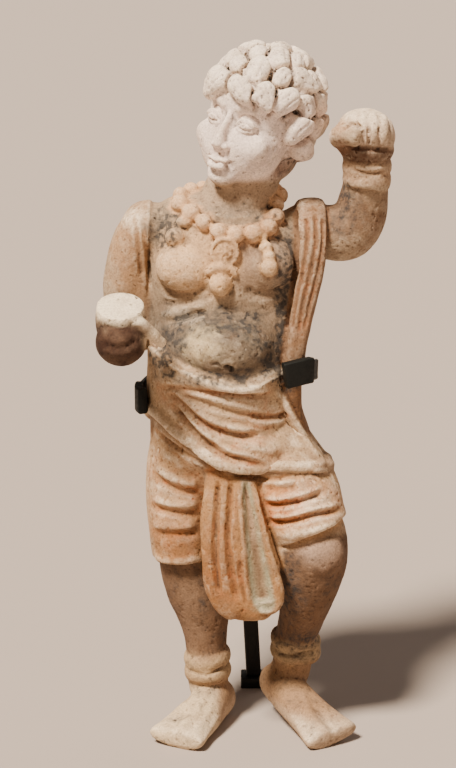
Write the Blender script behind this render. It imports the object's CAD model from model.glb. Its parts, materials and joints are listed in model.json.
import json
import math

import bmesh
import bpy
import numpy as np
from mathutils import Euler, Matrix, Vector, noise
from mathutils.bvhtree import BVHTree

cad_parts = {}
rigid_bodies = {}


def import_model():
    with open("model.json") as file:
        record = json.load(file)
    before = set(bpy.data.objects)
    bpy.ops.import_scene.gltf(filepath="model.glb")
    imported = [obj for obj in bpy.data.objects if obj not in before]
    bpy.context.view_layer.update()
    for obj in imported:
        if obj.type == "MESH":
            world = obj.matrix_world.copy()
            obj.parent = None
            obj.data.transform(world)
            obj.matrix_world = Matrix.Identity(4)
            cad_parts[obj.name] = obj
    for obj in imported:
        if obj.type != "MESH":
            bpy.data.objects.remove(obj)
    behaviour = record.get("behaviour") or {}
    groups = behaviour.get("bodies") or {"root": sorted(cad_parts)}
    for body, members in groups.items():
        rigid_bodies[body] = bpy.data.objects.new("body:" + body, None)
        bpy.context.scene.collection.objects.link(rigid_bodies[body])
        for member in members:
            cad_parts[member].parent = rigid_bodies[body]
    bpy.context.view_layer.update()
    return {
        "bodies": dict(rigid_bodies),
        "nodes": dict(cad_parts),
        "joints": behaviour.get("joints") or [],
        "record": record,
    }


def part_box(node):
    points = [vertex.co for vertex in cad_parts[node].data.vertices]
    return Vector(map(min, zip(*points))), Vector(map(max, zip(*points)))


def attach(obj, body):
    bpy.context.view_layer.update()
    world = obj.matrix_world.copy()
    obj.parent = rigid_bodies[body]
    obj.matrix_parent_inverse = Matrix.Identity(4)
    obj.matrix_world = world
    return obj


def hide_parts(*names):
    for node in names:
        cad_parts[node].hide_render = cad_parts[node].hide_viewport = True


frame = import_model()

# The camera stands a little above the dancer's head, in front of their upright line, and looks
# down at the waist. The upright line is found from the foot of the mount.
ROD_FROM_LINE = Vector((0.0108, 0.0375, 0))
foot_low, foot_high = (Vector(corner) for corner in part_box("support_foot"))
foot_middle = (foot_low + foot_high) / 2
LINE = Vector((foot_middle.x, foot_middle.y, 0)) - ROD_FROM_LINE
CAMERA_AT = LINE + Vector((0, -0.782, 0.324))
CAMERA_TO = LINE + Vector((0, 0, 0.139))
SENSOR, FOCAL_PIXELS, IMAGE_HEIGHT = 24, 2065, 768


def aim(name, data, at, to):
    thing = bpy.data.objects.new(name, data)
    bpy.context.scene.collection.objects.link(thing)
    thing.location = at
    thing.rotation_euler = (Vector(to) - Vector(at)).to_track_quat("-Z", "Y").to_euler()
    return thing


view = bpy.data.cameras.new("view")
view.sensor_fit = "VERTICAL"
view.sensor_height = SENSOR
view.lens = SENSOR * FOCAL_PIXELS / IMAGE_HEIGHT
bpy.context.scene.camera = aim("view", view, CAMERA_AT, CAMERA_TO)

# The floor and the studio light. The floor is a wide pale plate of matt paint. The key light comes
# from above on the viewer's left, and weaker ones fill from the right and from behind.
FLOOR_HALF = 12.0
LAMPS = (
    ("key_light", (-0.38, -0.46, 1.0), 10.0, 12, "#FFEFDC"),
    ("fill_light", (0.90, -0.90, 0.40), 0.35, 40, "#FFE0D0"),
    ("back_light", (0.45, 0.70, 0.60), 0.6, 40, "#FFEEE0"),
)
LAMP_TO = LINE + Vector((0, 0, 0.14))
WORLD_LIGHT = 0.2


def linear(hex_colour):
    """The linear red, green, blue and alpha of an sRGB hex colour."""
    parts = [int(hex_colour[i : i + 2], 16) / 255 for i in (1, 3, 5)]
    return (*(p / 12.92 if p <= 0.04045 else ((p + 0.055) / 1.055) ** 2.4 for p in parts), 1.0)


def add_node(tree, kind, inputs=None, **settings):
    """Adds a node. Each input is given a value, or the socket that it is linked from."""
    node = tree.nodes.new(kind)
    for name, value in settings.items():
        setattr(node, name, value)
    for name, value in (inputs or {}).items():
        if isinstance(value, bpy.types.NodeSocket):
            tree.links.new(value, node.inputs[name])
        else:
            node.inputs[name].default_value = value
    return node


def new_material(name):
    """A material with its shader node, ready for what feeds it."""
    material = bpy.data.materials.new(name)
    material.use_nodes = True
    return material, material.node_tree, material.node_tree.nodes["Principled BSDF"]


# Matt emulsion: rough all over, with a faint roller grain of about 2 mm
floor_paint, tree, shader = new_material("matt_emulsion")
shader.inputs["Base Color"].default_value = linear("#A89C93")
shader.inputs["Roughness"].default_value = 0.9
where = add_node(tree, "ShaderNodeTexCoord")
grain = add_node(tree, "ShaderNodeTexNoise", {"Vector": where.outputs["Object"], "Scale": 500.0})
bump = add_node(
    tree, "ShaderNodeBump", {"Height": grain.outputs["Fac"], "Strength": 0.05, "Distance": 0.0005}
)
tree.links.new(bump.outputs["Normal"], shader.inputs["Normal"])

plate = bmesh.new()
bmesh.ops.create_grid(plate, x_segments=8, y_segments=8, size=FLOOR_HALF)
floor_mesh = bpy.data.meshes.new("studio_floor")
plate.to_mesh(floor_mesh)
plate.free()
floor_mesh.materials.append(floor_paint)
studio_floor = bpy.data.objects.new("studio_floor", floor_mesh)
bpy.context.scene.collection.objects.link(studio_floor)

for name, at, strength, spread, colour in LAMPS:
    lamp = bpy.data.lights.new(name, "SUN")
    lamp.angle = math.radians(spread)
    lamp.energy = strength
    lamp.color = linear(colour)[:3]
    aim(name, lamp, LINE + Vector(at), LAMP_TO)
sky = bpy.data.worlds.new("studio_air")
sky.use_nodes = True
sky.node_tree.nodes["Background"].inputs["Color"].default_value = linear("#E8D8CC")
sky.node_tree.nodes["Background"].inputs["Strength"].default_value = WORLD_LIGHT
bpy.context.scene.world = sky

# The dancer's body: trunk, neck, limbs and bare feet. The real one was pressed into clay moulds and
# joined while damp, so its forms run together. Here lofts and lumps get one skin, smoothed as by
# a wet hand. Sizes are in 270ths of the figure's height, which are millimetres.
MM = 0.001
BODY_GRAIN, BODY_SMOOTHING = 0.8, 19
TRUNK = (
    (-1, 2, 100, 27, 19),
    (-1.4, 2, 110, 29, 22),
    (-2.4, 1, 122, 28.2, 23.5),
    (-3.2, 0, 136, 27.4, 23.5),
    (-3, -1, 147, 27.2, 23.5),
    (-2.2, -1, 158, 28, 21.5),
    (-1, 0.5, 170, 28.2, 17.8),
    (-0.5, 0.5, 182, 29.5, 18.5),
    (0, 1, 194, 30, 17.8),
    (1, 2.5, 203, 29, 15.5),
    (2, 3.5, 208, 22, 12),
)
NECK = ((2, 3.5, 192, 17, 14.5), (3, 3, 208, 14.6, 13.2), (6, 3, 218, 13.6, 13), (8, 3, 230, 13, 13))
LOWERED_ARM = (
    (-30.5, 4, 200, 9.2, 10),
    (-35.4, 4.5, 192, 9.2, 10),
    (-39, 5, 178, 8.6, 9.5),
    (-40.8, 4.5, 165, 8.2, 9),
    (-41.5, 1, 157.5, 8.6, 8.8),
)
FOREARM = (
    (-41.5, 2, 157.5, 8.4, 8.6),
    (-41.3, -10, 159.5, 8.4, 8.4),
    (-41, -24, 164, 7.6, 7.4),
    (-40, -32, 168, 7.6, 7),
)
RAISED_ARM = (
    (27, 3, 200, 9, 9),
    (37, 3, 198.4, 10.4, 10.4),
    (45, 2.5, 198.2, 11, 11),
    (50, 1.5, 203.5, 10.2, 10.4),
    (51.6, 0, 211, 9.4, 9.6),
    (52.2, -2, 220, 8.4, 8.4),
    (51.8, -4, 229, 8.6, 8.8),
)
STRAIGHT_LEG = (
    (-17, 0, 84, 12, 12),
    (-15.5, 0.5, 70, 12.4, 12.6),
    (-12, 2, 55, 12.7, 13),
    (-10, 2.5, 46, 11.2, 12),
    (-9, 2.2, 36, 8.8, 9.8),
    (-8.6, 2, 26, 8, 9),
    (-7.8, 2.5, 12, 8.2, 9.2),
)
BENT_LEG = (
    (30, -8, 92, 13, 13),
    (32, -12, 80, 14.5, 13),
    (32, -13, 71, 14.6, 13),
    (31.6, -9, 59, 11.6, 12.5),
    (29.4, -4, 46, 9.2, 11),
    (26.8, 0, 34, 8, 9),
    (26, 3, 24, 8, 9),
    (25, 5, 17, 7.6, 8.4),
)
STRAIGHT_FOOT = (
    (-3.2, 8, 6.5, 7, 7),
    (-6, 0, 8, 7.8, 8.6),
    (-11, -12, 6.6, 8.8, 7.0),
    (-16.5, -22, 4.8, 10.6, 5.0),
    (-20.5, -30, 4, 12, 4),
)
BENT_FOOT = (
    (18, 8.5, 13.5, 6.4, 7),
    (21.5, 3, 13.5, 7.6, 8.4),
    (28, -9, 10, 8.0, 7.6),
    (35, -19, 6.2, 9.6, 5.6),
    (41, -28, 4, 12.2, 4),
)


def spline(points, steps=6):
    """A smooth line through the points: Catmull-Rom, with the ends held."""
    known = np.array(points, float)
    known = np.vstack([2 * known[0] - known[1], known, 2 * known[-1] - known[-2]])
    t = (np.arange(steps) / steps)[:, None]
    parts = [
        0.5 * (2 * b + (c - a) * t + (2 * a - 5 * b + 4 * c - d) * t**2 + (3 * b - a - 3 * c + d) * t**3)
        for a, b, c, d in zip(known, known[1:], known[2:], known[3:])
    ]
    return np.vstack([*parts, known[-2]])


LOFT_SIDES = 36


def loft(stations, across=(1, 0, 0), blunt=0.35, square=2.0):
    """A closed limb through stations of x, y, z, half width and half depth, wide along across."""
    line = spline(stations)
    centres, halves = line[:, :3], line[:, 3:5]
    tangents = np.gradient(centres, axis=0)
    tangents /= np.linalg.norm(tangents, axis=1)[:, None]
    angles = 2 * math.pi * np.arange(LOFT_SIDES) / LOFT_SIDES
    c, s = np.cos(angles), np.sin(angles)
    c = np.sign(c) * np.abs(c) ** (2 / square)
    s = np.sign(s) * np.abs(s) ** (2 / square)

    def ring(index, share=1.0, beyond=0.0):
        tangent, half = tangents[index], halves[index] * share
        wide = np.array(across, float) - np.dot(across, tangent) * tangent
        wide /= np.linalg.norm(wide)
        centre = centres[index] + beyond * tangent
        return centre + np.outer(c * half[0], wide) + np.outer(s * half[1], np.cross(tangent, wide))

    def end(index, sign):
        reach = sign * blunt * min(halves[index])
        return [ring(index, share, reach * math.sqrt(1 - share * share)) for share in (0.97, 0.75, 0.4)]

    rings = [*end(0, -1)[::-1], *(ring(i) for i in range(len(line))), *end(-1, 1)]
    shape = bmesh.new()
    loops = [[shape.verts.new(p) for p in row] for row in rings]
    for low, high in zip(loops, loops[1:]):
        for i in range(LOFT_SIDES):
            j = (i + 1) % LOFT_SIDES
            shape.faces.new((low[i], low[j], high[j], high[i]))
    shape.faces.new(loops[0][::-1])
    shape.faces.new(loops[-1])
    bmesh.ops.recalc_face_normals(shape, faces=shape.faces)
    return shape


def ball(centre, radii, turn=(0, 0, 0), frame=Matrix()):
    """An ellipsoid, turned by angles in degrees, then carried by a frame."""
    shape = bmesh.new()
    bmesh.ops.create_icosphere(shape, subdivisions=4, radius=1)
    spin = Euler([math.radians(a) for a in turn]).to_matrix().to_4x4()
    size = Matrix.Diagonal((*np.broadcast_to(radii, 3), 1))
    bmesh.ops.transform(shape, matrix=frame @ Matrix.Translation(centre) @ spin @ size, verts=shape.verts)
    return shape


def mesh_of(shape):
    mesh = bpy.data.meshes.new("lump")
    shape.to_mesh(mesh)
    shape.free()
    return mesh


def made_by(mesh, name, kind, **settings):
    """The mesh that a modifier makes of a mesh."""
    thing = bpy.data.objects.new("work", mesh)
    bpy.context.scene.collection.objects.link(thing)
    modifier = thing.modifiers.new(name, kind)
    for key, value in settings.items():
        setattr(modifier, key, value)
    made = bpy.data.meshes.new_from_object(thing.evaluated_get(bpy.context.evaluated_depsgraph_get()))
    bpy.data.objects.remove(thing)
    return made


def fuse(meshes, grain, softenings):
    """One skin of clay round all the meshes, its creases softened."""
    joined = bmesh.new()
    for mesh in meshes:
        joined.from_mesh(mesh)
    skin = made_by(mesh_of(joined), "Skin", "REMESH", mode="VOXEL", voxel_size=grain, adaptivity=0)
    return made_by(skin, "Thumb", "SMOOTH", factor=0.5, iterations=softenings)


body = [
    loft(TRUNK),
    ball((-3, -7, 157), (23, 20.5, 15)),
    ball((-14.5, -9.8, 187), (13.4, 9.6, 10.6), (0, 0, 12)),
    ball((13, -9.6, 188), (13, 9.4, 10.4), (0, 0, -12)),
    ball((-13, 12.6, 112), (17, 13.4, 17)),
    ball((12, 12.6, 112), (17, 13.4, 17)),
    ball((-30, 4, 199.4), (10.6, 11, 10.4)),
    ball((29.5, 3, 199), (11, 11, 10.5)),
    ball((-33, 5, 176), (6, 9, 24)),
    loft(((23, -1, 198, 7, 9), (24, -2, 184, 6.5, 9.5), (22, -2, 168, 6.5, 10), (21, -2, 150, 6.5, 11))),
    ball((1, -9, 116), (24, 15.4, 11)),
    loft(NECK),
    loft(LOWERED_ARM),
    loft(FOREARM),
    loft(RAISED_ARM, across=(0, 1, 0)),
    loft(STRAIGHT_LEG),
    loft(BENT_LEG),
    ball((35, -20, 76), (10.5, 8, 9.5)),
    ball((26, -13, 76), (12, 11, 12)),
    ball((-9, 8, 56), (9, 9, 15)),
    ball((29, 2, 58), (9, 9, 14)),
    loft(STRAIGHT_FOOT, square=2.3),
    loft(BENT_FOOT, square=2.3),
]

# The head: skull, jaw, cheeks and nape, thrown back over the shoulder. It was moulded with the body.
HEAD = (
    Matrix.Translation((10.8, 1, 241))
    @ Matrix.Rotation(math.radians(14), 4, "Y")
    @ Matrix.Rotation(math.radians(-35), 4, "Z")
    @ Matrix.Rotation(math.radians(3), 4, "X")
)
body += [
    ball((0, 3, 3), (19.2, 21.5, 21), frame=HEAD),
    ball((0, -6.5, -8.5), (16.5, 14, 16.5), frame=HEAD),
    ball((0, -8, 8), (15, 12, 11), frame=HEAD),
    ball((0, -15.5, -20.5), (6, 4.8, 4.8), frame=HEAD),
    ball((8.6, -12, -8), (7.4, 6.6, 7.6), frame=HEAD),
    ball((-8.6, -12, -8), (7.4, 6.6, 7.6), frame=HEAD),
    ball((0, 9, -10), (15, 12, 14), frame=HEAD),
]
nude = fuse([mesh_of(shape) for shape in body], BODY_GRAIN, BODY_SMOOTHING)

# The face: a calm one on even proportions, its eyes half way up the head and an eye's width apart.
# Nose, lids, lips and ears are small lumps of clay here, and are sharpened later with the tool.
EYE_X, EYE_WIDE = 7.2, 3.8
NOSE_Z, MOUTH_Z, BROW_Z = -10.5, -15.4, 4.8


def carried(stations, frame):
    return [(*(frame @ Vector(row[:3])), *row[3:]) for row in stations]


ACROSS_HEAD = HEAD.to_3x3() @ Vector((1, 0, 0))
face = [
    loft(
        carried(
            (
                (0, -17.4, 3.4, 1.2, 1.8),
                (0, -18.9, 0, 1.25, 2),
                (0, -20.6, -4, 1.5, 2.4),
                (0, -21.7, NOSE_Z + 2.6, 2.1, 2.6),
            ),
            HEAD,
        ),
        across=ACROSS_HEAD,
    ),
    ball((0, -22.1, NOSE_Z + 1.9), (2.0, 1.9, 1.8), frame=HEAD),
    ball((0, -20.8, MOUTH_Z + 0.6), (4.7, 1.7, 1.2), frame=HEAD),
    ball((0, -20.6, MOUTH_Z - 1.5), (4.1, 1.9, 1.5), frame=HEAD),
]
for side in (-1, 1):
    face.append(ball((2.6 * side, -20.6, NOSE_Z + 1.3), (1.4, 1.9, 1.4), frame=HEAD))
    face.append(ball((EYE_X * side, -16.1, 0), (EYE_WIDE, 3.4, 2.6), (0, 0, 16 * side), frame=HEAD))
    face.append(ball((10 * side, -13.6, -7.4), (6, 4.6, 5.4), frame=HEAD))

# The hair: short curls all over the scalp. Each was a leaf of clay, scored along its length, bent to
# a hook and pressed on damp. Geometry Nodes stand one curl on every mark, turned and sized by it.
LOCK_ROWS = 7
LOCK_ROW_STEP = 24  # degrees from the crown
LOCK_PITCH = 9.2
CURL_SIZE = 1.14
LOCK_SUNK = 2.2  # the cap of hair lies this far under the curls' middles
LOCK_PROUD = 1.1  # a curl's middle above the cap or the skull
FIRST_ROW = 4  # degrees from the crown
ROW_TURN = 0.35  # radians that each row is turned on from the last
ROW_REACH = 21  # from the middle of the head to a row of curls
SWIRL = 55  # the most degrees that a curl is turned in its place
EARS, NAPE_DROP, BROW_RISE, TEMPLE_RISE = -8, 2, 19, 9  # the hairline's height, and where it alters
CAP_AT, CAP_SIZE = Vector((0, 4.4, 7)), Vector((19.8, 21, 20.6))
skull = BVHTree.FromPolygons([v.co for v in nude.vertices], [p.vertices[:] for p in nude.polygons])


def hairline(x, y):
    """The lowest height of the hair: over the ears, higher on the forehead and low at the nape."""
    back = y / math.hypot(x, y)
    if back > 0:
        return EARS - NAPE_DROP * back
    return EARS - BROW_RISE * back + TEMPLE_RISE * max(0, -x / math.hypot(x, y))


def lock_marks():
    """Middles, outward directions, turns as matrices and sizes, in staggered rows from the crown."""
    for row in range(LOCK_ROWS):
        polar = math.radians(FIRST_ROW + LOCK_ROW_STEP * row)
        count = max(1, round(2 * math.pi * ROW_REACH * math.sin(polar) / LOCK_PITCH))
        for i in range(count):
            place = i + 0.5 * (row % 2) + 0.16 * math.sin(5.3 * i + row)
            turn = 2 * math.pi * place / count + ROW_TURN * row
            flat = math.sin(polar)
            out = Vector((flat * math.sin(turn), flat * math.cos(turn), math.cos(polar)))
            on_cap = Vector(a * b for a, b in zip(out, CAP_SIZE)).length - LOCK_SUNK
            found = skull.ray_cast(HEAD @ (CAP_AT + 60 * out), HEAD.to_3x3() @ -out)[0]
            on_skull = (HEAD.inverted() @ found - CAP_AT).length
            at = CAP_AT + out * (max(on_cap, on_skull) + LOCK_PROUD)
            if at.z > hairline(out.x, out.y):
                down = Vector((0, 0, 1)).cross(out).cross(out) if row else Vector((0, 1, 0))
                up = -down.normalized()
                stand = Matrix((up.cross(out).normalized(), up, out)).transposed()
                swirl = math.radians(SWIRL * math.sin(2.4 * row + 1.9 * i))
                stand = stand @ Matrix.Rotation(swirl, 3, "Z")
                yield at, out, stand, 1.04 + 0.16 * math.sin(3.1 * i + row)


curl = bmesh.new()
for at, radii, turn in (
    ((0, 1.0, 0.2), (3.7, 3.9, 3.1), 0),
    ((0.4, -1.6, 0.2), (3.2, 3.5, 3.0), 0),
    ((1.3, -3.9, 0.2), (2.3, 2.4, 2.6), 20),
):
    curl.from_mesh(mesh_of(ball(at, radii, (0, 0, turn))))
one_curl = bpy.data.objects.new("one_curl", mesh_of(curl))
bpy.context.scene.collection.objects.link(one_curl)

damp_clay = bpy.data.materials.new("damp_clay")  # a stand-in until the whole figure is fired


def node_tree(name, sizes):
    """A Geometry Nodes tree with named sizes after its geometry, its input node and its sockets' keys."""
    tree = bpy.data.node_groups.new(name, "GeometryNodeTree")
    tree.interface.new_socket("Geometry", in_out="OUTPUT", socket_type="NodeSocketGeometry")
    tree.interface.new_socket("Geometry", in_out="INPUT", socket_type="NodeSocketGeometry")
    keys = {}
    for label, (kind, value) in sizes.items():
        socket = tree.interface.new_socket(label, in_out="INPUT", socket_type=kind)
        socket.default_value = value
        keys[label] = (socket.identifier, value)
    return tree, tree.nodes.new("NodeGroupInput"), keys


def end_tree(tree, geometry):
    real = add_node(tree, "GeometryNodeRealizeInstances", {"Geometry": geometry})
    dressed = add_node(
        tree, "GeometryNodeSetMaterial", {"Geometry": real.outputs["Geometry"], "Material": damp_clay}
    )
    add_node(tree, "NodeGroupOutput", {"Geometry": dressed.outputs["Geometry"]})


def grown(mesh, tree, keys):
    """The plain mesh that a tree makes of a mesh."""
    thing = bpy.data.objects.new(tree.name, mesh)
    bpy.context.scene.collection.objects.link(thing)
    modifier = thing.modifiers.new(tree.name, "NODES")
    modifier.node_group = tree
    for key, value in keys.values():
        modifier[key] = value
    made = bpy.data.meshes.new_from_object(thing.evaluated_get(bpy.context.evaluated_depsgraph_get()))
    bpy.data.objects.remove(thing)
    return made


marks = list(lock_marks())
scalp = bpy.data.meshes.new("scalp_marks")
scalp.from_pydata([at for at, *_ in marks], [], [])
scalp.attributes.new("turn", "FLOAT_VECTOR", "POINT").data.foreach_set(
    "vector", np.array([stand.to_euler() for _, _, stand, _ in marks]).ravel()
)
scalp.attributes.new("swell", "FLOAT", "POINT").data.foreach_set("value", [swell for *_, swell in marks])

tree, given, keys = node_tree("curls", {"Curl size": ("NodeSocketFloat", CURL_SIZE)})
turn = add_node(tree, "GeometryNodeInputNamedAttribute", {"Name": "turn"}, data_type="FLOAT_VECTOR")
swell = add_node(tree, "GeometryNodeInputNamedAttribute", {"Name": "swell"}, data_type="FLOAT")
size = add_node(
    tree,
    "ShaderNodeMath",
    {0: swell.outputs["Attribute"], 1: given.outputs["Curl size"]},
    operation="MULTIPLY",
)
source = add_node(tree, "GeometryNodeObjectInfo", {"Object": one_curl})
placed = add_node(
    tree,
    "GeometryNodeInstanceOnPoints",
    {
        "Points": given.outputs["Geometry"],
        "Instance": source.outputs["Geometry"],
        "Rotation": turn.outputs["Attribute"],
        "Scale": size.outputs["Value"],
    },
)
end_tree(tree, placed.outputs["Instances"])
curls = grown(scalp, tree, keys)
curls.transform(HEAD)
bpy.data.objects.remove(one_curl)
hair = [mesh_of(ball(CAP_AT, CAP_SIZE - Vector((LOCK_SUNK, LOCK_SUNK, LOCK_SUNK)), frame=HEAD)), curls]

# The clothes: short trousers, the apron panel that hangs between the legs, and the sash that comes
# up the back, over one shoulder and down under the waist. All were modelled in the same clay.
STRAIGHT_TROUSER = (
    (-13.5, 2, 118, 16.5, 20),
    (-16.2, 1.5, 104, 16, 19),
    (-17.4, 0.5, 92, 14.8, 17),
    (-17.4, -0.5, 80, 13.8, 15.4),
    (-17, -1, 70.5, 13, 14.4),
)
BENT_TROUSER = (
    (11.5, 2, 118, 16.5, 20),
    (18.5, -1, 107, 18.4, 19.5),
    (25.6, -8, 97, 18.2, 17.5),
    (29.8, -12, 88, 16.6, 15.6),
    (31.6, -12.8, 84, 16, 15),
)
APRON = (
    (0.5, -15.6, 116, 8.2, 4),
    (0.8, -18, 108, 9.4, 4.2),
    (1.2, -21, 99, 11, 4.4),
    (1.8, -23.2, 90, 12.6, 4.4),
    (4, -25, 78, 14.3, 4.4),
    (6.6, -25.6, 66, 15.4, 4.2),
    (10.8, -25.8, 61.4, 13.2, 4),
    (14.4, -25.6, 58, 9.4, 3.8),
    (16.6, -25.4, 56, 6.2, 3.4),
)
SASH = (
    (12, 16.4, 152, 5, 3.4),
    (17, 17.4, 166, 5, 3.4),
    (22.4, 17.4, 182, 5, 3.4),
    (27.4, 14.4, 198, 5, 3.5),
    (31, 7, 207, 5.4, 3.5),
    (31.6, -3, 207, 5.6, 3.5),
    (31.8, -10, 198, 5.4, 3.5),
    (31.2, -12, 186, 5.2, 4),
    (28.6, -12.5, 172, 4.6, 4.5),
    (26.2, -13, 158, 4, 4.5),
    (25, -11.5, 146, 4, 4.5),
    (25.2, -7, 132, 3.8, 5.5),
    (29, -3, 119, 3.8, 6),
    (33.8, -2, 108, 3.4, 5),
)
trousers = [mesh_of(loft(row, blunt=0.08)) for row in (STRAIGHT_TROUSER, BENT_TROUSER)]
apron = mesh_of(loft(APRON, blunt=0.5, square=2.6))
sash = mesh_of(loft(SASH, square=3))
clothes = [*trousers, apron, sash, mesh_of(ball((4, -10, 92), (14, 12, 16)))]

# The hands: the lowered one is worn flat on top and points with its thumb, and the raised one is a
# fist with four curled fingers and the thumb laid over the first. Both were modelled by hand.
FINGERS = 4
FINGER_PITCH = 3.8
FINGER_FROM = 50.3
WORN_LEAN = math.radians(26)  # of the worn top of the lowered hand, towards the front
WORN_AT = 176.4
WORN_MIDDLE = Vector((-39.5, -38.6, 177.1))
worn_way = Vector((0, -math.sin(WORN_LEAN), math.cos(WORN_LEAN)))
# Distance along the hand from its worn top, half width and half depth
LOWERED_HAND = ((-18, 7.6, 7.8), (-12, 9.0, 8.8), (-6, 9.3, 8.9), (-1, 8.9, 8.5), (3, 8.4, 8.2))
POINTING_THUMB = (
    (-36, -41, 173.4, 3.4, 3.8),
    (-31.4, -41.8, 170.6, 2.8, 2.9),
    (-27.4, -40.6, 167, 2.3, 2.4),
    (-24.4, -38.4, 163.6, 2.2, 2.1),
)
FIST_THUMB = (
    (42.6, -3, 234, 3, 3.6),
    (41.2, -8, 236, 3.2, 3.8),
    (43.6, -13.4, 237.4, 3.7, 4),
    (47.4, -16, 236.8, 3.3, 3.5),
)
CURLED = ((-9.5, 243.2), (-13.2, 241.6), (-14.8, 238.4), (-14.2, 235.8), (-12.2, 234.4))
FINGER_SIZE = (2.15, 2.3)
SET_BACK = (0.6, 0.2, 1.2, 4.6)  # of each finger, and how far it is drawn in and lowered
DRAWN_IN, LOWERED = (0, 0, 0.2, 2.0), (0, 0, 0.6, 2.8)
hands = [
    loft(
        [
            (*(WORN_MIDDLE + t * worn_way), wide, deep)
            for t, wide, deep in LOWERED_HAND
        ]
    ),
    ball((-39.4, -39.4, 164.4), (9.5, 8.6, 9.2)),
    loft(POINTING_THUMB, across=(0, 0, 1), blunt=0.8),
    ball((51.4, -4.4, 236), (11.6, 9.6, 10.4)),
    ball((52.4, -4.8, 231), (10.2, 9.2, 7)),
    loft(FIST_THUMB, blunt=0.8),
]
for i, (back, drawn_in, lowered) in enumerate(zip(SET_BACK, DRAWN_IN, LOWERED)):
    x = FINGER_FROM + FINGER_PITCH * i
    finger = [(x - drawn_in, y + back, z - lowered, *FINGER_SIZE) for y, z in CURLED]
    hands.append(loft(finger, blunt=0.8))

# The wrist band and the anklets: flat coils of clay wound twice round and pressed on.
# Middle, half width, half depth, thickness, height and tilt in degrees of each turn
COILS = (
    ((52.6, -2.4, 224.3), 8.2, 8.8, 1.3, 2.9, -3),
    ((52.6, -2.4, 219.6), 8.1, 8.8, 1.2, 3.2, 7),
    ((-8.4, 2, 26), 7.8, 9.2, 1.8, 3.1, -9),
    ((-8.2, 2, 20.4), 7.6, 9.0, 1.9, 3.2, -1),
    ((27.2, 1.5, 33.4), 8.6, 9.8, 1.7, 2.6, 8),
    ((27.2, 1.7, 28.8), 8.4, 9.6, 2.0, 3.0, 5),
)


def hoop(centre, wide, deep, thick, tall, tilt, sides=64, sections=14):
    shape = bmesh.new()
    rings = []
    for i in range(sides):
        turn = 2 * math.pi * i / sides
        out = Vector((math.cos(turn) * wide, math.sin(turn) * deep, 0.3 * math.sin(3 * turn)))
        side = Vector((out.x, out.y, 0)).normalized()
        section = (2 * math.pi * k / sections for k in range(sections))
        rings.append(
            [
                shape.verts.new(out + thick * math.cos(a) * side + Vector((0, 0, tall * math.sin(a))))
                for a in section
            ]
        )
    for i in range(sides):
        here, there = rings[i], rings[(i + 1) % sides]
        for k in range(sections):
            m = (k + 1) % sections
            shape.faces.new((here[k], there[k], there[m], here[m]))
    spin = Matrix.Translation(centre) @ Matrix.Rotation(math.radians(tilt), 4, "Y")
    bmesh.ops.transform(shape, matrix=spin, verts=shape.verts)
    bmesh.ops.recalc_face_normals(shape, faces=shape.faces)
    return shape


coils = [mesh_of(hoop(*row)) for row in COILS]

# The clay's skin as the tool finds it: lines are laid on it by sight, and strokes lift or press it.
FAR = 90  # outside the figure


def step_up(value, edge):
    """0 below zero, 1 above edge, and smooth between."""
    t = np.clip(value / edge, 0, 1)
    return t * t * (3 - 2 * t)


def ring_height(knots, angle):
    """A closed smooth line of heights, given as pairs of angle and height."""
    turn = [(a + 360 * lap, z) for lap in (-1, 0, 1) for a, z in knots]
    line = spline(turn, 8)
    return np.interp(np.asarray(angle) % 360, line[:, 0], line[:, 1])


def near(points, line, width):
    """The points within a width of a line, their distance to it, and their share of its length."""
    line = np.array([tuple(p) for p in line], float)
    low, high = line.min(axis=0) - width, line.max(axis=0) + width
    picked = np.flatnonzero(np.all((points > low) & (points < high), axis=1))
    points = points[picked]
    best = np.full(len(points), float(FAR))
    along = np.zeros(len(points))
    for i, (a, b) in enumerate(zip(line, line[1:])):
        run = b - a
        t = np.clip((points - a) @ run / max(run @ run, 1e-9), 0, 1)
        gap = np.linalg.norm(points - a - t[:, None] * run, axis=1)
        closer = gap < best
        best[closer] = gap[closer]
        along[closer] = (i + t[closer]) / (len(line) - 1)
    return picked, best, along


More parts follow.
